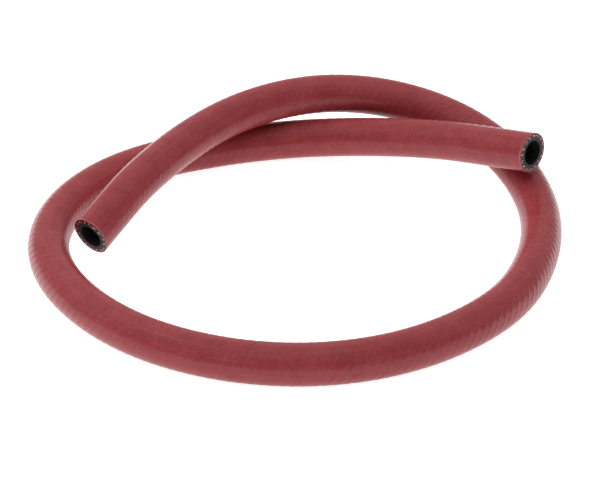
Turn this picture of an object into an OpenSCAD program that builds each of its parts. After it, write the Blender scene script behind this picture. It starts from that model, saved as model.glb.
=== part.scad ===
// Length of rubber hose, reinforced with two opposed spirals of yarn and cut nearly square at
// both ends. It lies in one loop on a flat surface, and each end passes over the other strand.
// Millimetres, +Z up. The surface it lies on is Z = 0, and the origin is under the loop's middle.

/* [Bore and walls] */
// Diameter of the bore, which is the hose's nominal size
bore_d = 12.7; // [11.5:0.1:12.9]
// Thickness of the inner tube's wall
tube_wall = 1.65; // [1.2:0.05:1.8]
// Thickness of the cover outside the yarns
cover_wall = 1.1; // [0.8:0.05:1.25]

/* [Reinforcement] */
// Diameter of one twisted yarn
yarn_d = 0.45; // [0.3:0.05:0.5]
// Rubber film that parts each spiral of yarn from the layers beside it
yarn_film = 0.075; // [0.06:0.005:0.1]
// Rubber between the two yarns of a pair
pair_gap = 0.5; // [0.2:0.1:0.8]
// Number of pairs of yarn that run side by side in each spiral
pairs_per_spiral = 8; // [5:1:10]
// Length of hose in which a yarn goes once round
lay_length = 37.5; // [32:0.5:60]
// Depth from a cut face over which rubber shows between the single yarns
key_depth = 1; // [0.6:0.1:1.2]

/* [Ends and lie] */
// Straight length at each end, which takes a hose tail and its clip
straight_end = 20.6; // [12:0.2:23]
// Angle by which the knife missed square at the lower end
cut_slope_a = 6; // [0:0.5:9]
// Angle by which the knife missed square at the higher end
cut_slope_b = 7; // [0:0.5:9]
// Depth to which the hose's own weight presses its resting side flat
rest_flat = 2.1; // [0.5:0.1:2.5]

/* [Hidden] */
$fn = 64;

// Radii at which the layers meet, from the bore outwards
bore_r = bore_d / 2;
tube_r = bore_r + tube_wall;
yarn_layer = yarn_d + 2 * yarn_film;
spirals_r = tube_r + yarn_layer;
yarns_r = spirals_r + yarn_layer;
cover_r = yarns_r + cover_wall;

// Sweep of the long layers
sides = 12;
ring_step = 36;
// The corners of a many-sided layer stand out by this, so that it holds as much as a round one
facet_fit = sqrt(2 * PI / (sides * sin(360 / sides)));
// The sweep runs this far into the round ends, so that they are one solid. There it stays this
// far within the round wall's surfaces, corners and flats alike.
end_lap = 1;
lap_inset = 0.05;
// The way round the hose in which each cut face rises, from the lowest point of the face
cut_way_a = 71;
cut_way_b = 166;
// The round ends start out this much too long for the sloping cut
cut_room = 2;
// Points in each span of the route on which the least gap is measured
gap_points = 16;
// Strands nearer than this many spans are the same stretch of hose
same_stretch = 3;

// Route of the centre line from one cut face to the other, as guide points of a smooth curve:
// across, along, and the lift above lying on the surface. Three points in line hold each end
// straight, and the curve rounds off the corners between the rest.
route = [
    [-102, -7, 5], [-90, 12, 12], [-78, 31, 19],
    [-41, 94, 21], [13, 119, 25], [66, 114, 19], [105, 85, 11],
    [124, 44, 1], [124, 1, 0], [115, -35, 0], [100, -67, 0],
    [66, -99, 0], [24, -117, 0], [-25, -117, 0], [-75, -95, 0],
    [-111, -54, 0], [-127, -9, 0], [-119, 36, 0], [-96, 68, 0],
    [-72, 84, 0], [-55, 92, 0], [-1, 110, 0],
    [68, 84, 13], [94, 62, 20], [120, 40, 27]
];
spans = len(route) - 1;
rest_height = cover_r - rest_flat;
// The route at its height, with one point beyond each end that keeps the end straight
guide = [
    for (p = concat(
        [2 * route[0] - route[1]], route, [2 * route[spans] - route[spans - 1]]
    )) p + [0, 0, rest_height]
];

function unit(v) = v / norm(v);

// Uniform cubic B-spline through the guide: u counts spans from the first cut face
function span_of(u) = min(floor(u), spans - 1);
function centre(u) =
    let (k = span_of(u), t = u - k)
    ((1 - t)^3 * guide[k] + (3 * t^3 - 6 * t^2 + 4) * guide[k + 1]
        + (-3 * t^3 + 3 * t^2 + 3 * t + 1) * guide[k + 2] + t^3 * guide[k + 3]) / 6;
function heading(u) =
    let (k = span_of(u), t = u - k)
    unit((-(1 - t)^2 * guide[k] + (3 * t^2 - 4 * t) * guide[k + 1]
        + (-3 * t^2 + 2 * t + 1) * guide[k + 2] + t^2 * guide[k + 3]) / 2);

// Stations of the swept rings: the first two and the last two bound the laps into the round ends
first_span = norm(route[1] - route[0]);
last_span = norm(route[spans] - route[spans - 1]);
stations = concat(
    [(straight_end - end_lap) / first_span, straight_end / first_span],
    [
        for (k = [1 : spans - 2])
        let (rings = ceil(norm(route[k + 1] - route[k]) / ring_step))
        for (j = [0 : rings - 1]) k + j / rings
    ],
    [spans - 1, spans - straight_end / last_span, spans - (straight_end - end_lap) / last_span]
);
last_ring = len(stations) - 1;

// One ring of a layer at station k, whose corners are lap_r from the centre line in the laps. The
// side that rests is pressed up, and the wall outside keeps its thickness.
function ring(k, r, lap_r) =
    let (
        u = stations[k],
        h = heading(u),
        side = unit(cross(h, [0, 0, 1])),
        up = cross(side, h),
        c = centre(u),
        corner_r = k < 2 || k > last_ring - 2 ? lap_r : facet_fit * r,
        floor_z = cover_r - r
    )
    [
        for (i = [0 : sides - 1])
        let (a = 360 * i / sides, p = c + corner_r * (cos(a) * side + sin(a) * up))
        [p.x, p.y, max(p.z, floor_z)]
    ];

// Triangles between two rings of points: a and b are the numbers of their first points
function band(a, b) = [
    for (i = [0 : sides - 1])
    let (j = (i + 1) % sides)
    each [[a + i, b + j, b + i], [a + i, a + j, b + j]]
];

// The swept wall between two radii
module swept_wall(r_in, r_out) {
    lap_out = r_out - lap_inset;
    lap_in = (r_in + lap_inset) / cos(180 / sides);
    outer = [for (k = [0 : last_ring]) each ring(k, r_out, lap_out)];
    inner = [for (k = [0 : last_ring]) each ring(k, r_in, lap_in)];
    inner_at = len(outer);
    last_at = last_ring * sides;
    polyhedron(
        points = concat(outer, inner),
        faces = [
            for (a = [0 : sides : last_at - 1]) each band(a, a + sides),
            for (a = [inner_at : sides : inner_at + last_at - 1]) each band(a + sides, a),
            each band(inner_at, 0),
            each band(last_at, inner_at + last_at)
        ],
        convexity = 6
    );
}

// Puts its children at both cut faces, with +Z out of the hose, and turns them half a side of
// the sweep, so that the seam of a round surface doesn't run along a corner. Each cut face rises
// at the angle $slope in the direction $way.
module at_ends() {
    for (e = [[0, -1, cut_slope_a, cut_way_a], [spans, 1, cut_slope_b, cut_way_b]]) {
        p = centre(e[0]);
        d = e[1] * heading(e[0]);
        $slope = e[2];
        $way = e[3] - 180 / sides;
        translate(p)
            rotate([0, acos(d.z), atan2(d.y, d.x)])
                rotate([0, 0, 180 / sides])
                    children();
    }
}

// All that lies beyond a depth from the cut face
module beyond(depth) {
    block = 4 * cover_r;
    rotate([0, -$slope, $way])
        translate([0, 0, block / 2 - depth])
            cube(block, center = true);
}

// A round wall from a depth below the cut face to the end of the straight length
module round_wall(r_in, r_out, depth) {
    difference() {
        translate([0, 0, -straight_end])
            cylinder(r = r_out, h = straight_end + cut_room);
        translate([0, 0, -straight_end - 1])
            cylinder(r = r_in, h = straight_end + cut_room + 2);
        beyond(depth);
    }
}

// A round wall that reaches from the cut face down to key_depth
module key_wall(r_in, r_out) {
    intersection() {
        round_wall(r_in, r_out, 0);
        beyond(key_depth);
    }
}

// The yarns of one spiral where they come to a cut face, pair by pair, each at its own helix
// angle: straight pieces whose middles lie half_turn's chord inward, so that they are at r where
// the keys end. The pairs of the two spirals stand between one another. hand is 1 or -1, and
// grow lengthens the yarns past the face for the holes that they lie in.
module yarn_ends(r, hand, grow) {
    angle = atan(2 * PI * r / lay_length);
    reach = key_depth + yarn_layer / 2;
    long = 2 * (reach + yarn_layer) / cos(angle);
    turn = hand * 90 / pairs_per_spiral;
    half_pair = (yarn_d + pair_gap) / 2 / cos(angle) / r * 180 / PI;
    half_turn = key_depth / 2 * tan(angle) / r * 180 / PI;
    intersection() {
        for (i = [0 : pairs_per_spiral - 1], j = [-1, 1]) {
            a = turn + 360 * i / pairs_per_spiral + j * half_pair;
            face_z = r * tan($slope) * cos(a - $way);
            rotate([0, 0, a])
                translate([r * cos(half_turn), 0, face_z - key_depth / 2])
                    rotate([-hand * angle, 0, 0])
                        cylinder(d = yarn_d, h = long, center = true, $fn = 24);
        }
        difference() {
            beyond(reach);
            beyond(-grow);
        }
    }
}

// One spiral of yarns, wound to a closed sleeve, with its single yarns in the cut faces
module yarn_spiral(r_in, hand) {
    r_out = r_in + yarn_layer;
    swept_wall(r_in, r_out);
    at_ends() {
        round_wall(r_in, r_out, key_depth);
        yarn_ends(r_in + yarn_layer / 2, hand, 0);
    }
}

// Black tube that carries the fluid. At the cut faces it fills in between the inner yarns.
module inner_tube() {
    color([0.17, 0.17, 0.16]) {
        swept_wall(bore_r, tube_r);
        at_ends()
            difference() {
                union() {
                    round_wall(bore_r, tube_r, 0);
                    key_wall(bore_r, spirals_r);
                }
                yarn_ends(tube_r + yarn_layer / 2, 1, 1);
            }
    }
}

// Inner spiral of white yarn, wound right-handed over the tube
module yarn_spiral_inner() {
    color([0.86, 0.83, 0.80])
        yarn_spiral(tube_r, 1);
}

// Outer spiral of white yarn, wound left-handed over the first
module yarn_spiral_outer() {
    color([0.90, 0.87, 0.84])
        yarn_spiral(spirals_r, -1);
}

// Red cover. At the cut faces it fills in between the outer yarns.
module cover() {
    color([0.60, 0.29, 0.30]) {
        swept_wall(yarns_r, cover_r);
        at_ends()
            difference() {
                union() {
                    round_wall(yarns_r, cover_r, 0);
                    key_wall(spirals_r, cover_r);
                }
                yarn_ends(spirals_r + yarn_layer / 2, -1, 1);
            }
    }
}

// Least gap of the hose to itself, measured between points of its centre line
gap_line = [for (i = [0 : spans * gap_points]) centre(i / gap_points)];
gap_apart = same_stretch * gap_points;
least_gap = min([
    for (i = [0 : len(gap_line) - gap_apart - 1])
    for (j = [i + gap_apart : len(gap_line) - 1]) norm(gap_line[i] - gap_line[j])
]) - 2 * cover_r;
echo(str("Least gap of the hose to itself: ", least_gap, " mm"));

inner_tube();
yarn_spiral_inner();
yarn_spiral_outer();
cover();
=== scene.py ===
from math import cos, pi, radians, sin

import bpy
import numpy as np
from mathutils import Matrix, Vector


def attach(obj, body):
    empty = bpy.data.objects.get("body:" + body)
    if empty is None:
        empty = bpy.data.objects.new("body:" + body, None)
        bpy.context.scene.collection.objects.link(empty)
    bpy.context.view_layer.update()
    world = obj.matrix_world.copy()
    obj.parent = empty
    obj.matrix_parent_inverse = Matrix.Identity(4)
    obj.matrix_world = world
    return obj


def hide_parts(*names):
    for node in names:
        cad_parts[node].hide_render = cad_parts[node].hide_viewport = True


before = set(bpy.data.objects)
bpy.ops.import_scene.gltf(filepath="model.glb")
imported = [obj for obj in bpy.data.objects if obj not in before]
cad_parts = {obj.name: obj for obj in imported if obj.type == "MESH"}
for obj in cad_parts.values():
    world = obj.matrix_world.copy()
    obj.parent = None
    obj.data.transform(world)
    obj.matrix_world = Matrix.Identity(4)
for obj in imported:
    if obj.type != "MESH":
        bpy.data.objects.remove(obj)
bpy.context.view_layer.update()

# ------------------------------------------------------------------------------------------
# Camera: a long lens from the front, 30 degrees above the surface that the hose lies on.
# ------------------------------------------------------------------------------------------
VIEW_SLOPE = radians(30.0)
AIM = Vector((0.001912, -0.002249, 0.00824))
AIM_DISTANCE = 1.2157
camera_data = bpy.data.cameras.new("camera")
camera_data.sensor_width = 36.0
camera_data.lens = 146.23
camera_data.clip_start = 0.05
camera_data.clip_end = 50.0
camera = bpy.data.objects.new("camera", camera_data)
camera.location = AIM + AIM_DISTANCE * Vector((0.0, -cos(VIEW_SLOPE), sin(VIEW_SLOPE)))
camera.rotation_euler = (pi / 2 - VIEW_SLOPE, 0.0, 0.0)
bpy.context.scene.collection.objects.link(camera)
bpy.context.scene.camera = camera
bpy.context.scene.view_settings.view_transform = "Standard"

# ------------------------------------------------------------------------------------------
# Inner tube: black rubber, extruded first. It carries the fluid, and its outside closed round
# the inner yarns in the cure, so its rim is cogged where it shows in a cut face.
# ------------------------------------------------------------------------------------------
# Centre line of the hose from one cut face to the other, as guide points of a smooth curve:
# across, along, and the lift above lying on the surface
ROUTE = np.array([
    (-0.102, -0.007, 0.005), (-0.090, 0.012, 0.012), (-0.078, 0.031, 0.019),
    (-0.041, 0.094, 0.021), (0.013, 0.119, 0.025), (0.066, 0.114, 0.019),
    (0.105, 0.085, 0.011), (0.124, 0.044, 0.001), (0.124, 0.001, 0.000),
    (0.115, -0.035, 0.000), (0.100, -0.067, 0.000), (0.066, -0.099, 0.000),
    (0.024, -0.117, 0.000), (-0.025, -0.117, 0.000), (-0.075, -0.095, 0.000),
    (-0.111, -0.054, 0.000), (-0.127, -0.009, 0.000), (-0.119, 0.036, 0.000),
    (-0.096, 0.068, 0.000), (-0.072, 0.084, 0.000), (-0.055, 0.092, 0.000),
    (-0.001, 0.110, 0.000), (0.068, 0.084, 0.013), (0.094, 0.062, 0.020),
    (0.120, 0.040, 0.027),
])
# Radii of the bore, of the tube, of the meeting of the two spirals and of the whole hose
BORE_R = 0.00635
TUBE_R = 0.00800
SPIRALS_R = 0.00860
COVER_R = 0.01030
# Depth to which the hose's own weight presses its resting side flat, and how softly the
# flat strip turns up at its edges
REST_FLAT = 0.0021
REST_SOFT = 0.00012
# Angle by which each cut missed square, and the way round the hose in which its face rises
CUT_A = (radians(6.0), radians(-19.0))
CUT_B = (radians(7.0), radians(104.0))
# Length over which the slope of a cut dies away into the hose
CUT_DRAW = 0.008
# Two lengths or radii nearer than this are the same one
TINY = 1e-6


def route_samples(per_span):
    """Points of the uniform cubic B-spline through the route, with one mirrored guide point
    beyond each end, their headings, and the length of line up to each of them."""
    rest = np.array([0.0, 0.0, COVER_R - REST_FLAT])
    guide = np.vstack([2 * ROUTE[0] - ROUTE[1], ROUTE, 2 * ROUTE[-1] - ROUTE[-2]]) + rest
    spans = len(ROUTE) - 1
    u = np.linspace(0.0, spans, spans * per_span + 1)
    k = np.minimum(u.astype(int), spans - 1)
    t = (u - k)[:, None]
    points = ((1 - t) ** 3 * guide[k] + (3 * t ** 3 - 6 * t ** 2 + 4) * guide[k + 1]
              + (-3 * t ** 3 + 3 * t ** 2 + 3 * t + 1) * guide[k + 2]
              + t ** 3 * guide[k + 3]) / 6
    headings = (-(1 - t) ** 2 * guide[k] + (3 * t ** 2 - 4 * t) * guide[k + 1]
                + (-3 * t ** 2 + 2 * t + 1) * guide[k + 2] + t ** 2 * guide[k + 3])
    headings /= np.linalg.norm(headings, axis=1)[:, None]
    run = np.r_[0.0, np.cumsum(np.linalg.norm(np.diff(points, axis=0), axis=1))]
    return points, headings, run


LINE, HEADINGS, RUN = route_samples(per_span=200)
LENGTH = RUN[-1]
# Pairs of yarn in each spiral
PAIRS = 8
# Turns of a yarn round the hose, a whole number of sixteenths, so that the pairs of one spiral
# stand between the other's pairs in both cut faces, and the length of hose that one turn takes
TURNS = 28.0625
LAY = LENGTH / TURNS


def stations(s):
    """Centre, sideways and upward unit vectors of the hose at the lengths s. Beyond the cut
    faces the end's straight line runs on."""
    inside = np.clip(s, 0.0, LENGTH)
    centre = np.stack([np.interp(inside, RUN, LINE[:, i]) for i in range(3)], axis=-1)
    heading = np.stack([np.interp(inside, RUN, HEADINGS[:, i]) for i in range(3)], axis=-1)
    heading /= np.linalg.norm(heading, axis=-1)[..., None]
    centre = centre + (s - inside)[..., None] * heading
    side = np.cross(heading, [0.0, 0.0, 1.0])
    side /= np.linalg.norm(side, axis=-1)[..., None]
    return centre, side, np.cross(side, heading)


def sloped(s, phi, r):
    """Lengths s moved along the hose so that s = 0 and s = LENGTH become the sloping planes of
    the two cuts. The move is r times the tangent of the slope times the cosine of the angle from
    the rising side, and dies away smoothly over CUT_DRAW."""
    for (slope, way), depth, outward in ((CUT_A, s, -1.0), (CUT_B, LENGTH - s, 1.0)):
        fade = np.clip(1.0 - depth / CUT_DRAW, 0.0, 1.0)
        fade = fade * fade * (3.0 - 2.0 * fade)
        s = s + outward * fade * r * np.tan(slope) * np.cos(phi - way)
    return s


def hose_points(s, phi, r):
    """Points at length s before the cuts' slope, angle phi from the sideways direction and
    distance r from the centre line. Where the hose rests its walls are pressed up together: the
    height is the mean of the height over the resting plane and the root of its square plus
    REST_SOFT squared, less half of REST_SOFT, and never below the surface."""
    centre, side, up = stations(sloped(s, phi, r))
    p = centre + r[..., None] * (np.cos(phi)[..., None] * side + np.sin(phi)[..., None] * up)
    over = p[..., 2] - (COVER_R - r)
    p[..., 2] = (COVER_R - r) + 0.5 * (over + np.sqrt(over ** 2 + REST_SOFT ** 2))
    p[..., 2] = np.maximum(p[..., 2] - 0.5 * REST_SOFT, 0.0)
    return p


def grid_faces(rows, columns, close_rows):
    """Quads of a grid of rows by columns whose columns close on themselves, and its rows too
    where close_rows is set. They face outwards where phi grows along the rows and the rows run
    along the hose."""
    i = np.arange(rows if close_rows else rows - 1)[:, None]
    j = np.arange(columns)[None, :]
    i2 = (i + 1) % rows
    j2 = (j + 1) % columns
    quads = np.stack([i2 * columns + j, i2 * columns + j2, i * columns + j2, i * columns + j],
                     axis=-1)
    return quads.reshape(-1, 4)


def add_mesh(name, points, quads, attributes):
    """A smooth-shaded mesh object of quads at the origin, with vector or value attributes on
    its points."""
    mesh = bpy.data.meshes.new(name)
    mesh.vertices.add(len(points))
    mesh.vertices.foreach_set("co", points.astype(np.float32).ravel())
    mesh.loops.add(quads.size)
    mesh.loops.foreach_set("vertex_index", quads.astype(np.int32).ravel())
    mesh.polygons.add(len(quads))
    mesh.polygons.foreach_set("loop_start", np.arange(0, quads.size, 4, dtype=np.int32))
    mesh.polygons.foreach_set("use_smooth", np.ones(len(quads), dtype=bool))
    mesh.update(calc_edges=True)
    mesh.validate()
    for key, values in attributes.items():
        kind, field = ("FLOAT_VECTOR", "vector") if values.ndim == 2 else ("FLOAT", "value")
        layer = mesh.attributes.new(key, kind, "POINT")
        layer.data.foreach_set(field, values.astype(np.float32).ravel())
    obj = bpy.data.objects.new(name, mesh)
    bpy.context.scene.collection.objects.link(obj)
    return obj


def straightened(s, phi, r):
    """Coordinates in millimetres of the same point on the hose when it is pulled straight."""
    return np.stack([s * 1000, r * np.cos(phi) * 1000, r * np.sin(phi) * 1000],
                    axis=-1).reshape(-1, 3)


def wall_grid(profile_s, profile_r, columns):
    """Lengths, angles and radii of a closed wall, one row for each point of its profile."""
    phi = np.arange(columns) * 2 * pi / columns
    s, phi = np.meshgrid(profile_s, phi, indexing="ij")
    return s, phi, np.repeat(profile_r[:, None], columns, axis=1)


TUBE_COLUMNS = 160
# Rings along the part of the tube that the yarns cover
TUBE_RINGS = 118
# Depth from a cut face over which the tube fills in between the inner yarns, out to its rim
KEY_DEPTH = 0.0012
RIM_R = SPIRALS_R - 0.00008
# Rounding of the cut edges, and how far the tube stands out of the cut
TUBE_EDGE = 0.00012
TUBE_PROUD = 0.00006
# Heights of the cogs and of the slow wave of the rim, and of the waves in the cut faces
COG = 0.00016
RIM_WAVE = 0.00006
TUBE_CHATTER = 0.00004


def tube_profile():
    """Lengths and radii round the wall of the tube: along its outside, over the far face with
    a quarter circle at both edges, back through the bore and over the near face."""
    between = np.linspace(KEY_DEPTH, LENGTH - KEY_DEPTH, TUBE_RINGS)
    near_rim = np.array([TUBE_EDGE, KEY_DEPTH * 0.6])
    quarter = np.linspace(0.0, pi / 2, 4)[1:]
    rise = TUBE_EDGE * np.sin(quarter)
    fall = TUBE_EDGE * np.cos(quarter)
    face_r = np.linspace(RIM_R - 2 * TUBE_EDGE, BORE_R + 2 * TUBE_EDGE, 4)
    profile_s = np.concatenate([
        near_rim, between, LENGTH - near_rim[::-1],
        LENGTH - TUBE_EDGE + rise, np.full(len(face_r), LENGTH), LENGTH - TUBE_EDGE + fall,
        between[::-1],
        TUBE_EDGE - fall[::-1], np.zeros(len(face_r)), TUBE_EDGE - rise[::-1],
    ])
    profile_r = np.concatenate([
        [RIM_R, RIM_R], np.full(TUBE_RINGS, TUBE_R), [RIM_R, RIM_R],
        RIM_R - TUBE_EDGE + fall, face_r, BORE_R + TUBE_EDGE - rise,
        np.full(TUBE_RINGS, BORE_R),
        BORE_R + TUBE_EDGE - rise[::-1], face_r[::-1], RIM_R - TUBE_EDGE + fall[::-1],
    ])
    return profile_s, profile_r


def tube_wall():
    """Mesh of the tube. The rim has a cosine cog for each yarn and a slow sine round it, and
    the cut faces have the sine wave of a knife's chatter."""
    profile_s, profile_r = tube_profile()
    s, phi, r = wall_grid(profile_s, profile_r, TUBE_COLUMNS)
    cogs = COG * np.cos(2 * PAIRS * (phi - 2 * pi * s / LAY))
    cogs += RIM_WAVE * np.sin(5 * phi + 40 * s)
    r = np.where(r > RIM_R - 1.5 * TUBE_EDGE, r + cogs, r)
    at_face = (s < TINY) | (s > LENGTH - TINY)
    cut_s = np.where(s < LENGTH / 2, s - TUBE_PROUD, s + TUBE_PROUD)
    cut_s += np.where(at_face, TUBE_CHATTER * np.sin(4 * phi + 1400 * r + 2.0), 0.0)
    return add_mesh(
        "inner_tube_rubber", hose_points(cut_s, phi, r).reshape(-1, 3),
        grid_faces(len(profile_s), TUBE_COLUMNS, True),
        {"hose": straightened(s, phi, r), "cut": at_face.astype(float).ravel(),
         "depth": (r - BORE_R).ravel() * 1000},
    )


def srgb(red, green, blue):
    """Linear colour of an sRGB colour in steps of 255."""
    c = np.array([red, green, blue]) / 255
    linear = np.where(c <= 0.04045, c / 12.92, ((c + 0.055) / 1.055) ** 2.4)
    return (*(float(v) for v in linear), 1.0)


def feed(tree, socket, given):
    """Links another node's output to an input socket, or sets the socket to a number or
    colour."""
    if isinstance(given, bpy.types.NodeSocket):
        tree.links.new(given, socket)
    else:
        socket.default_value = given


def add_node(tree, kind, settings, **inputs):
    """A node with its settings, whose input sockets are fed by name, with _ for a space."""
    node = tree.nodes.new(kind)
    for key, value in settings.items():
        setattr(node, key, value)
    for key, given in inputs.items():
        feed(tree, node.inputs[key.replace("_", " ")], given)
    return node


def maths(tree, operation, *values):
    """Output of a maths node, whose input sockets are fed in order."""
    node = tree.nodes.new("ShaderNodeMath")
    node.operation = operation
    for socket, given in zip(node.inputs, values):
        feed(tree, socket, given)
    return node.outputs[0]


def noise(tree, place, scale, detail, roughness=0.5):
    """Output of a noise from 0 to 1 at a place, with scale cells to a unit."""
    return add_node(tree, "ShaderNodeTexNoise", {}, Vector=place, Scale=scale, Detail=detail,
                    Roughness=roughness).outputs["Fac"]


def mixed(tree, share, first, second):
    """Output of a mix of two colours, with share of the second."""
    return add_node(tree, "ShaderNodeMix", {"data_type": "RGBA"}, Factor=share, A=first,
                    B=second).outputs["Result"]


def attribute(tree, name, output):
    """Output of a mesh attribute."""
    return add_node(tree, "ShaderNodeAttribute", {"attribute_name": name}).outputs[output]


def bumped(tree, height, strength, distance):
    """Output of a normal that follows a height, which is 1 at distance over the surface."""
    return add_node(tree, "ShaderNodeBump", {}, Height=height, Strength=strength,
                    Distance=distance).outputs["Normal"]


def node_group(name, inputs, outputs):
    """An empty shader node group with its inputs, each (name, socket type, default), and its
    outputs, each a name of a value."""
    group = bpy.data.node_groups.new(name, "ShaderNodeTree")
    for label, kind, default in inputs:
        socket = group.interface.new_socket(name=label, in_out="INPUT", socket_type=kind)
        if default is not None:
            socket.default_value = default
    for label in outputs:
        group.interface.new_socket(name=label, in_out="OUTPUT", socket_type="NodeSocketFloat")
    given = group.nodes.new("NodeGroupInput").outputs
    result = group.nodes.new("NodeGroupOutput").inputs
    return group, given, result


def rubber_grain():
    """Node group: uneven colour and fine grain of a rubber surface from its straightened
    coordinates in millimetres. Mottle is clouds plus patches, Fleck a fine noise and Scuff a
    noise drawn out along the hose, all about 0. Grain is a height in millimetres, a noise whose
    cells are Grain Size across, and Specks is a mask of small dots, the middles of cells."""
    group, given, result = node_group(
        "rubber grain",
        [("Hose", "NodeSocketVector", None), ("Grain Size", "NodeSocketFloat", 0.7)],
        ["Mottle", "Fleck", "Scuff", "Grain", "Specks"],
    )
    hose = given["Hose"]
    patches = maths(group, "MULTIPLY_ADD", noise(group, hose, 0.75, 2.0), 0.6, -0.8)
    feed(group, result["Mottle"], maths(group, "ADD", noise(group, hose, 0.11, 3.0), patches))
    fine = noise(group, hose, 1.9, 2.0)
    feed(group, result["Fleck"], maths(group, "SUBTRACT", fine, 0.5))

    drawn_out = add_node(group, "ShaderNodeMapping", {}, Vector=hose, Scale=(0.03, 0.5, 0.5))
    streaks = noise(group, drawn_out.outputs["Vector"], 1.0, 1.5)
    feed(group, result["Scuff"], maths(group, "SUBTRACT", streaks, 0.5))

    cells_to_a_unit = maths(group, "DIVIDE", 1.0, given["Grain Size"])
    grain = noise(group, hose, cells_to_a_unit, 4.0, 0.6)
    feed(group, result["Grain"], maths(group, "MULTIPLY", grain, 0.018))

    cells = add_node(group, "ShaderNodeTexVoronoi", {}, Vector=hose, Scale=0.23)
    specks = add_node(group, "ShaderNodeMapRange", {"interpolation_type": "SMOOTHSTEP"},
                      Value=cells.outputs["Distance"], From_Min=0.07, From_Max=0.03,
                      To_Min=0.0, To_Max=1.0)
    feed(group, result["Specks"], specks.outputs["Result"])
    return group


GRAIN = rubber_grain()


def grained(tree, hose, grain_size):
    """Outputs of the rubber grain, placed in a material."""
    node = tree.nodes.new("ShaderNodeGroup")
    node.node_tree = GRAIN
    feed(tree, node.inputs["Hose"], hose)
    feed(tree, node.inputs["Grain Size"], grain_size)
    return node.outputs


def blank_material(name):
    """A node material, its tree, and the inputs of the Principled shader in it."""
    material = bpy.data.materials.new(name)
    material.use_nodes = True
    tree = material.node_tree
    tree.nodes.clear()
    shader = tree.nodes.new("ShaderNodeBsdfPrincipled")
    output = tree.nodes.new("ShaderNodeOutputMaterial")
    tree.links.new(shader.outputs["BSDF"], output.inputs["Surface"])
    return material, tree, shader.inputs


def tube_rubber():
    """Material of the tube: black, and greyer in a cut face, with a painted highlight that
    makes it lighter towards the bore's edge, where light catches the bore's rim.
    """
    material, tree, shader = blank_material("black tube rubber")
    grain = grained(tree, attribute(tree, "hose", "Vector"), 0.35)
    tone = maths(tree, "MULTIPLY_ADD", grain["Mottle"], 1.2, 0.5)
    wall = mixed(tree, tone, srgb(30, 30, 31), srgb(40, 40, 41))
    # Painted highlight: the cut face grows lighter grey towards the bore, where light catches the
    # bore's rim
    outward = add_node(tree, "ShaderNodeMapRange", {}, Value=attribute(tree, "depth", "Fac"),
                       From_Min=0.1, From_Max=0.45)
    face = mixed(tree, outward.outputs["Result"], srgb(72, 68, 65), srgb(40, 39, 37))
    colour = mixed(tree, attribute(tree, "cut", "Fac"), wall, face)
    feed(tree, shader["Base Color"], colour)
    feed(tree, shader["Normal"], bumped(tree, grain["Grain"], 1.0, 0.001))
    shader["Roughness"].default_value = 0.6
    shader["IOR"].default_value = 1.33
    return material


tube = tube_wall()
tube.data.materials.append(tube_rubber())
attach(tube, "root")
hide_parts("inner_tube")

# ------------------------------------------------------------------------------------------
# Two spirals of yarn: 16 off-white polyester yarns each, laid in pairs, the inner spiral
# right-handed and the outer one left-handed. The knife frays their ends in the cut faces.
# ------------------------------------------------------------------------------------------
YARNS_R = 0.00920
INNER_YARN_R = (TUBE_R + SPIRALS_R) / 2
OUTER_YARN_R = (SPIRALS_R + YARNS_R) / 2
YARN_R = 0.00027
YARN_SIDES = 6
# Depths of a yarn's first three rings below the cut, and the depth and spacing of the rest
RINGS_AT_CUT = np.array([-0.00002, 0.0003, 0.0008])
RINGS_FROM = 0.0014
RING_STEP = 0.0021
# From the middle of one yarn of a pair to the other's, square to both
PAIR_SPACING = 0.00150
# Filaments drawn in each brush, one in the middle and a ring round it, and their radius
FILAMENTS = 7
FILAMENT_R = 0.00012
# Length of a brush below the cut, and the radius that the knife drags the brushes towards
BRUSH_ROOT = 0.0004
BRUSH_R = 0.00845
# Radius of a brush's ring at its root, how much it opens to the tips, and how many times as
# wide it is round the hose as across the wall
BRUSH_RING_R = 0.00009
BRUSH_OPENING = 0.00006
BRUSH_STRETCH = 1.7
# Share of the brushes that end below a cut, smeared over with rubber, and how far below
SMEARED = 0.35
SMEARED_TIP = -0.00015
# How far the others stand out of the cut at the least, and how much more at the most
LEAST_TIP = 0.00008
MORE_TIP = 0.00022
# At the first cut, the way round the hose in which it is cleanest, how much more is smeared
# at right angles to that, and the angle through which the knife dragged the tips
CLEAN_WAY = 0.2
SMEARED_MORE = 0.35
DRAG = 0.11


def yarn_lines(radius, hand, phase):
    """Length and angle along each of the 16 yarns of a spiral, from just past one cut to just
    past the other. A pair straddles the angle of its number times an eighth of a turn, plus
    phase. The angle falls by a full turn in each LAY where hand is 1, and rises where it is
    -1."""
    half_pair = 0.5 * PAIR_SPACING / cos(np.arctan(2 * pi * radius / LAY)) / radius
    s = np.concatenate([RINGS_AT_CUT, np.arange(RINGS_FROM, LENGTH - RINGS_FROM, RING_STEP),
                        LENGTH - RINGS_AT_CUT[::-1]])
    pair = np.repeat(np.arange(PAIRS), 2) * 2 * pi / PAIRS
    start = pair + np.tile([-half_pair, half_pair], PAIRS) + phase
    turn = start[:, None] - hand * 2 * pi * s[None, :] / LAY
    return np.repeat(s[None, :], len(start), axis=0), turn


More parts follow.
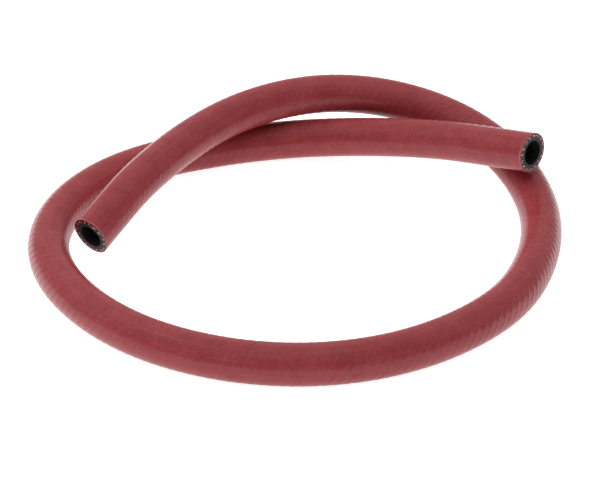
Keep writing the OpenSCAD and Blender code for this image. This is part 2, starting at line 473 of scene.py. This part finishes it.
def rods(s, turn, r, radii):
    """Points, quads and straightened coordinates of six-sided rods with flat caps. Each row of
    the length s, angle turn and distance r is a line on the hose, and radii are the rods' own.
    A ring stands square to its line: the rod's radius times the cosine and sine of the angle
    round it, on a level axis and on one square to that."""
    centres = hose_points(s, turn, r)
    ahead = np.gradient(centres, axis=1)
    ahead /= np.linalg.norm(ahead, axis=2)[..., None]
    across = np.cross(ahead, [0.0, 0.0, 1.0])
    across /= np.maximum(np.linalg.norm(across, axis=2), 1e-9)[..., None]
    other = np.cross(across, ahead)
    a = np.arange(YARN_SIDES) * 2 * pi / YARN_SIDES
    ring = (np.cos(a)[None, None, :, None] * across[:, :, None]
            + np.sin(a)[None, None, :, None] * other[:, :, None])
    points = centres[:, :, None] + radii[:, :, None, None] * ring
    lines, rows = s.shape
    caps = np.array([[0, 1, 2, 3], [0, 3, 4, 5]])
    last = (rows - 1) * YARN_SIDES
    one_rod = np.vstack([grid_faces(rows, YARN_SIDES, False), caps, last + caps[:, ::-1]])
    first_points = np.arange(lines)[:, None, None] * rows * YARN_SIDES
    coords = np.repeat(straightened(s, turn, r), YARN_SIDES, axis=0)
    return points.reshape(-1, 3), (first_points + one_rod[None]).reshape(-1, 4), coords


def brushes(turn, radius, hand, seed):
    """Length, angle, distance and radius along the filaments at both ends of each yarn, whose
    angles are turn. The ring of a brush opens with the power 1.5 of the way along it, the brush
    goes on in the yarn's turn at 0.8 of its rate and half-way over to BRUSH_R, and a filament
    thins by the root of 1 less 0.6 of the fourth power. Most brushes stand out of the cut, and
    the rest end below it. At the first cut the share that is smeared grows by SMEARED_MORE times
    1 less the cosine of the angle from CLEAN_WAY, and the drag by the square of the way along."""
    rng = np.random.default_rng(seed)
    yarns = len(turn)
    standing = np.repeat(rng.uniform(0.0, 1.0, 2 * yarns), FILAMENTS)
    yarn = np.repeat(np.arange(yarns), 2 * FILAMENTS)
    at_first = (np.tile(np.repeat([0, 1], FILAMENTS), yarns) == 0)[:, None]
    base_turn = np.where(at_first, turn[yarn, 1][:, None], turn[yarn, -2][:, None])
    smeared_more = SMEARED_MORE * (1.0 - np.cos(base_turn - CLEAN_WAY))
    standing = standing[:, None] - np.where(at_first, smeared_more, 0.0)
    place = np.tile(np.arange(FILAMENTS), 2 * yarns)[:, None]
    count = (len(place), 1)
    spread = np.where(place == 0, 0.0, rng.uniform(0.85, 1.1, count))
    way_round = place * 2 * pi / (FILAMENTS - 1)
    tip = np.where(standing < SMEARED, SMEARED_TIP, LEAST_TIP + MORE_TIP * standing)
    tip = tip * rng.uniform(0.8, 1.2, count)
    along = np.linspace(0.0, 1.0, 5)[None, :]
    out = -BRUSH_ROOT + along * (BRUSH_ROOT + tip)
    s = np.where(at_first, -out, LENGTH + out)
    base_s = np.where(at_first, RINGS_AT_CUT[1], LENGTH - RINGS_AT_CUT[1])
    lean = -hand * 2 * pi / LAY * (s - base_s)
    fan = (BRUSH_RING_R + BRUSH_OPENING * along ** 1.5) * spread
    phi = base_turn + 0.8 * lean + BRUSH_STRETCH * fan * np.cos(way_round) / radius
    phi = phi + np.where(at_first, DRAG, 0.0) * along ** 2
    r = radius + 0.5 * (BRUSH_R - radius) * along + fan * np.sin(way_round)
    thickness = FILAMENT_R * np.sqrt(1.0 - 0.6 * along ** 4) * rng.uniform(0.9, 1.1, count)
    return s, phi, r, thickness


def yarn_spiral(name, radius, hand, phase, seed):
    """Mesh of one spiral: its yarns as rods, a little thinner at the cuts, and a brush of
    filaments at both ends of each."""
    s, turn = yarn_lines(radius, hand, phase)
    radii = np.full(s.shape, YARN_R)
    radii[:, [0, -1]] *= 0.86
    points, quads, coords = rods(s, turn, np.full_like(s, radius), radii)
    brush_points, brush_quads, brush_coords = rods(*brushes(turn, radius, hand, seed))
    return add_mesh(
        name, np.vstack([points, brush_points]), np.vstack([quads, brush_quads + len(points)]),
        {"hose": np.vstack([coords, brush_coords])},
    )


def white_yarn():
    """Material of the yarns: off-white, matt, with the fine unevenness of spun fibres."""
    material, tree, shader = blank_material("off-white yarn")
    fibre = noise(tree, attribute(tree, "hose", "Vector"), 6.0, 3.0)
    feed(tree, shader["Base Color"], mixed(tree, fibre, srgb(228, 222, 218), srgb(252, 250, 248)))
    feed(tree, shader["Normal"], bumped(tree, fibre, 0.6, 0.0001))
    shader["Roughness"].default_value = 0.8
    shader["Sheen Weight"].default_value = 0.3
    return material


yarn_material = white_yarn()
for name, node, radius, hand, phase, seed in (
        ("yarns_inner", "yarn_spiral_inner", INNER_YARN_R, 1, -pi / PAIRS, 3),
        ("yarns_outer", "yarn_spiral_outer", OUTER_YARN_R, -1, 0.0, 8)):
    spiral = yarn_spiral(name, radius, hand, phase, seed)
    spiral.data.materials.append(yarn_material)
    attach(spiral, "root")
    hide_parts(node)

# ------------------------------------------------------------------------------------------
# Cover: the outside of the hose, one tube of red rubber, extruded over the yarns and cured on
# them, so that both spirals print through it as low ridges. Its ends are knife cuts.
# ------------------------------------------------------------------------------------------
COVER_COLUMNS = 80
COVER_STEP = 0.00100
COVER_INNER_RINGS = 150
# Rounding of the cut edge, the radii of the rings in a cut face, and the radius to which the
# cover fills in between the outer yarns there
LIP = 0.00024
COVER_FACE_R = np.array([0.00995, 0.00975, 0.0095, 0.0092, 0.0089, 0.0087])
COVER_KEY_R = 0.00850
COVER_KEY_DEPTH = 0.001
# Height of the outer spiral's print, its sharpness, and the share of the height by which the
# troughs sink under the cover's nominal surface
RIDGE_HEIGHT = 0.000085
RIDGE_SHARPNESS = 2.2
RIDGE_SINK = 0.4
# Length from a cut over which the print grows to its full height
PRINT_FADE = 0.012
# Height of the slow wave of the outside, and how far all of it lies under its nominal radius
SLOW_WAVE = 0.00002
ALL_SUNK = 0.00006
# How far the cut faces lie inward, and the heights of the two waves in them
FACE_INWARD = 0.00003
COVER_CHATTER = (0.00005, 0.00003)
# Length from a cut in which the rubber has the cut's colour
CUT_COLOUR_LENGTH = 0.0001
# Length and depth of the painted highlight along the rounded lip round a cut
LIP_HIGHLIGHT_LENGTH = 0.0005
LIP_HIGHLIGHT_DEPTH = 0.00016
# Number of points of the cord's path
PATH_POINTS = 161


def cover_profile():
    """Lengths and radii round the wall of the cover: along its outside, over the far lip's
    quarter circle and the face, back along its inside, and over the near face and lip."""
    outer_s = np.linspace(LIP, LENGTH - LIP, int(round(LENGTH / COVER_STEP)) + 1)
    inner_s = np.linspace(LENGTH, 0.0, COVER_INNER_RINGS)
    in_key = (inner_s < COVER_KEY_DEPTH) | (inner_s > LENGTH - COVER_KEY_DEPTH)
    lip_turn = np.linspace(0.0, pi / 2, 5)[1:]
    profile_s = np.concatenate([
        outer_s, LENGTH - LIP + LIP * np.sin(lip_turn), np.full(len(COVER_FACE_R), LENGTH),
        inner_s, np.zeros(len(COVER_FACE_R)), LIP - LIP * np.sin(lip_turn[::-1]),
    ])
    profile_r = np.concatenate([
        np.full(len(outer_s), COVER_R), COVER_R - LIP + LIP * np.cos(lip_turn), COVER_FACE_R,
        np.where(in_key, COVER_KEY_R, YARNS_R),
        COVER_FACE_R[::-1], COVER_R - LIP + LIP * np.cos(lip_turn[::-1]),
    ])
    return profile_s, profile_r


def ripple(s, phi):
    """Slow waves of no fixed period from -1 to 1 over the hose, from four sines that close
    round it."""
    return (np.sin(61 * s + 2 * phi + 1.3) + np.sin(97 * s - phi + 4.1)
            + np.sin(149 * s + 3 * phi + 0.4) + np.sin(23 * s + phi + 2.2)) / 4


def ridge(s, phi):
    """The print of the outer spiral from 0 to 1, a rounded crest over each pair of yarns that
    climbs round the hose: the exponential of the sharpness times the cosine of the turn less
    1."""
    return np.exp(RIDGE_SHARPNESS * (np.cos(PAIRS * (phi - 2 * pi * s / LAY)) - 1.0))


def relief(s, phi):
    """Height of the cover's outside over its nominal radius. The ridges have 0.45 of their
    height at the cuts, vary by 0.4 of the ripple, and follow the angle by 0.6 less 0.2 of its
    cosine plus 0.6 of the cosine's square, so that they are highest on the side that is outward
    in the loop's bends and lowest on top."""
    near_end = np.clip(np.minimum(s, LENGTH - s) / PRINT_FADE, 0.0, 1.0)
    round_way = 0.6 - 0.2 * np.cos(phi) + 0.6 * np.cos(phi) ** 2
    strength = (0.45 + 0.55 * near_end) * (1.0 + 0.4 * ripple(s, phi)) * round_way
    ridges = RIDGE_HEIGHT * strength * (ridge(s, phi) - RIDGE_SINK)
    return ridges + (SLOW_WAVE * ripple(1.7 * s, phi) - ALL_SUNK)


def cover_wall():
    """Mesh of the cover. The columns of the outside climb with the outer yarns, so that ten of
    them shape each crest, and those of the inside make up the part of a turn that is over, on
    the way back. The cut faces lie a little inward and have the two sine waves of a knife's
    chatter. The painted lip highlight is 1 at the lip and falls to 0 along the hose and into
    the cut: a pale band painted where light catches the rounded edge."""
    profile_s, profile_r = cover_profile()
    s, phi, r = wall_grid(profile_s, profile_r, COVER_COLUMNS)
    on_inside = r < YARNS_R + TINY
    phi = phi + np.where(on_inside, (TURNS % 1) * 2 * pi * s / LENGTH, 2 * pi * s / LAY)
    on_outside = r > COVER_R - LIP - TINY
    relief_r = np.where(on_outside, r + relief(s, phi), r)

    at_cut = (s < TINY) | (s > LENGTH - TINY)
    on_face = at_cut & (r < COVER_R - LIP + TINY) & (r > SPIRALS_R)
    chatter = (COVER_CHATTER[0] * np.sin(3 * phi + 900 * r)
               + COVER_CHATTER[1] * np.sin(11 * phi + 2500 * r + 1.0))
    inward = np.where(s < LENGTH / 2, 1, -1)
    cut_s = np.where(on_face, s + inward * (FACE_INWARD + chatter), s)

    to_end = np.minimum(s, LENGTH - s)
    coloured_as_cut = (r < COVER_R - 0.3 * LIP) & (to_end < CUT_COLOUR_LENGTH)
    # Painted highlight: a pale band where light catches the rounded lip of each cut, strongest at
    # the lip and fading along the hose and into the cut
    painted_lip_highlight = (np.clip(1.0 - to_end / LIP_HIGHLIGHT_LENGTH, 0.0, 1.0)
            * np.clip(1.0 - (COVER_R - r) / LIP_HIGHLIGHT_DEPTH, 0.0, 1.0)
            * (0.65 + 0.35 * np.sin(2 * phi + 300 * s)))
    return add_mesh(
        "cover_rubber", hose_points(cut_s, phi, relief_r).reshape(-1, 3),
        grid_faces(len(profile_s), COVER_COLUMNS, True),
        {"hose": straightened(s, phi, r), "cut": coloured_as_cut.astype(float).ravel(),
         "depth": (COVER_R - r).ravel() * 1000, "painted_lip_highlight": painted_lip_highlight.ravel()},
    )


def spiral_print():
    """Node group: the crests that the pairs of yarn of one spiral print on the cover. A point's
    turn round the hose, plus Hand times the turn of the yarns at its length, times the number of
    pairs, plus Phase, gives an angle. Crest is the exponential of Sharpness times that angle's
    cosine less 1."""
    group, given, result = node_group(
        "spiral print",
        [("Hose", "NodeSocketVector", None), ("Hand", "NodeSocketFloat", 1.0),
         ("Phase", "NodeSocketFloat", 0.0), ("Sharpness", "NodeSocketFloat", 2.5)],
        ["Crest"],
    )
    hose = add_node(group, "ShaderNodeSeparateXYZ", {}, Vector=given["Hose"]).outputs
    turn = maths(group, "ARCTAN2", hose["Z"], hose["Y"])
    yarns_turn = maths(group, "MULTIPLY", hose["X"], 2 * pi / (LAY * 1000))
    between = maths(group, "MULTIPLY_ADD", yarns_turn, given["Hand"], turn)
    angle = maths(group, "MULTIPLY_ADD", between, PAIRS, given["Phase"])
    below_top = maths(group, "SUBTRACT", maths(group, "COSINE", angle), 1.0)
    narrowed = maths(group, "MULTIPLY", below_top, given["Sharpness"])
    feed(group, result["Crest"], maths(group, "EXPONENT", narrowed))
    return group


PRINT = spiral_print()


def printed_crest(tree, hose, hand, phase):
    """Output of the crests of one spiral, placed in a material."""
    node = tree.nodes.new("ShaderNodeGroup")
    node.node_tree = PRINT
    feed(tree, node.inputs["Hose"], hose)
    feed(tree, node.inputs["Hand"], hand)
    feed(tree, node.inputs["Phase"], phase)
    return node.outputs["Crest"]


def red_rubber():
    """Material of the cover: dull red, mottled, flecked and faintly streaked along the hose,
    paler on the crests of both prints, deeper red in the cuts, and with a painted highlight
    along their rounded lips, where the colour turns pale pink."""
    material, tree, shader = blank_material("red cover rubber")
    hose = attribute(tree, "hose", "Vector")
    grain = grained(tree, hose, 0.8)
    left_crests = printed_crest(tree, hose, -1.0, 0.0)
    right_crests = printed_crest(tree, hose, 1.0, pi)
    crests = maths(tree, "MULTIPLY_ADD", right_crests, 0.7, left_crests)
    patchy = maths(tree, "MULTIPLY_ADD", grain["Mottle"], 3.0, 1.0)
    printed = maths(tree, "MULTIPLY", crests, patchy)

    mottled = maths(tree, "MULTIPLY_ADD", grain["Mottle"], 0.5, 0.42)
    streaked = maths(tree, "MULTIPLY_ADD", grain["Scuff"], 0.35, mottled)
    flecked = maths(tree, "MULTIPLY_ADD", grain["Fleck"], 1.2, streaked)
    tone = maths(tree, "MULTIPLY_ADD", printed, 0.03, flecked)
    body = mixed(tree, tone, srgb(132, 42, 47), srgb(176, 80, 83))
    speckled = mixed(tree, grain["Specks"], body, srgb(96, 44, 47))
    # The cut face is lighter red towards the lip, a painted highlight carried on from the rounded
    # lip, and deeper red further in
    inward = add_node(tree, "ShaderNodeMapRange", {}, Value=attribute(tree, "depth", "Fac"),
                      From_Min=0.05, From_Max=0.3)
    face = mixed(tree, inward.outputs["Result"], srgb(144, 54, 58), srgb(114, 30, 36))
    faced = mixed(tree, attribute(tree, "cut", "Fac"), speckled, face)
    # Painted highlight on the cut's rounded lip: the colour is mixed towards pale pink there
    painted_highlight_share = maths(tree, "MULTIPLY", attribute(tree, "painted_lip_highlight", "Fac"), 0.9)
    colour = mixed(tree, painted_highlight_share, faced, srgb(214, 140, 141))
    feed(tree, shader["Base Color"], colour)

    roughness = maths(tree, "MULTIPLY_ADD", grain["Scuff"], 0.1, 0.25)
    feed(tree, shader["Roughness"], roughness)
    height = maths(tree, "MULTIPLY_ADD", printed, 0.01, grain["Grain"])
    feed(tree, shader["Normal"], bumped(tree, height, 1.0, 0.001))
    shader["IOR"].default_value = 1.3
    return material


cover = cover_wall()
cover.data.materials.append(red_rubber())
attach(cover, "root")
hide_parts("cover")

path_points = stations(np.linspace(0.0, LENGTH, PATH_POINTS))[0]

# ------------------------------------------------------------------------------------------
# Floor: a wide white sheet. It is white to the camera and in reflections, and keeps the
# hose's shadow.
# ------------------------------------------------------------------------------------------
FLOOR_Z = -0.0001
floor_mesh = bpy.data.meshes.new("floor")
floor_corners = [(-6.0, -4.0, FLOOR_Z), (6.0, -4.0, FLOOR_Z), (6.0, 14.0, FLOOR_Z),
                 (-6.0, 14.0, FLOOR_Z)]
floor_mesh.from_pydata(floor_corners, [], [(0, 1, 2, 3)])
floor = bpy.data.objects.new("floor", floor_mesh)
bpy.context.scene.collection.objects.link(floor)


def white_sheet():
    """Material of the floor: a matt white that also glows to the camera, in reflections and
    through what is clear."""
    material, tree, shader = blank_material("white sheet")
    ray = tree.nodes.new("ShaderNodeLightPath").outputs
    reflected = maths(tree, "ADD", ray["Is Camera Ray"], ray["Is Glossy Ray"])
    seen = tree.nodes.new("ShaderNodeMath")
    seen.operation = "ADD"
    seen.use_clamp = True
    feed(tree, seen.inputs[0], reflected)
    feed(tree, seen.inputs[1], ray["Is Transmission Ray"])
    feed(tree, shader["Emission Strength"], maths(tree, "MULTIPLY", seen.outputs[0], 0.85))
    shader["Emission Color"].default_value = (1.0, 1.0, 1.0, 1.0)
    shader["Base Color"].default_value = (0.88, 0.88, 0.88, 1.0)
    shader["Roughness"].default_value = 0.9
    shader["Specular IOR Level"].default_value = 0.1
    return material


floor.data.materials.append(white_sheet())

# ------------------------------------------------------------------------------------------
# Light: a large softbox overhead, a lamp that throws light up from the sheet, and a soft wash
# from the world that grows upwards and towards the back.
# ------------------------------------------------------------------------------------------
LAMP_WIDTH = 2.4
LAMP_DEPTH = 2.0


def softbox(name, place, target, power):
    """A rectangular lamp at place that faces target and doesn't show in reflections."""
    lamp = bpy.data.lights.new(name, "AREA")
    lamp.shape = "RECTANGLE"
    lamp.size = LAMP_WIDTH
    lamp.size_y = LAMP_DEPTH
    lamp.energy = power
    obj = bpy.data.objects.new(name, lamp)
    bpy.context.scene.collection.objects.link(obj)
    obj.location = place
    obj.rotation_euler = (Vector(target) - Vector(place)).to_track_quat("-Z", "Y").to_euler()
    obj.visible_glossy = False
    return obj


softbox("overhead", (-0.35, 0.2, 1.0), (0.0, 0.0, 0.0), 16.5)
table = softbox("light_table", (0.0, 0.0, FLOOR_Z / 2), (0.0, 0.0, 1.0), 10.0)
table.visible_camera = False

world = bpy.data.worlds.new("studio")
bpy.context.scene.world = world
world.use_nodes = True
tree = world.node_tree
tree.nodes.clear()
direction = add_node(tree, "ShaderNodeSeparateXYZ", {},
                     Vector=tree.nodes.new("ShaderNodeTexCoord").outputs["Generated"]).outputs
up_and_back = maths(tree, "MULTIPLY_ADD", direction["Z"], 0.5, direction["Y"])
wash = add_node(tree, "ShaderNodeMapRange", {"interpolation_type": "SMOOTHSTEP"},
                Value=up_and_back, From_Min=-0.9, From_Max=0.6, To_Min=0.05, To_Max=0.55)
sky = add_node(tree, "ShaderNodeBackground", {}, Color=(1.0, 1.0, 1.0, 1.0),
               Strength=wash.outputs["Result"])
feed(tree, tree.nodes.new("ShaderNodeOutputWorld").inputs["Surface"], sky.outputs[0])
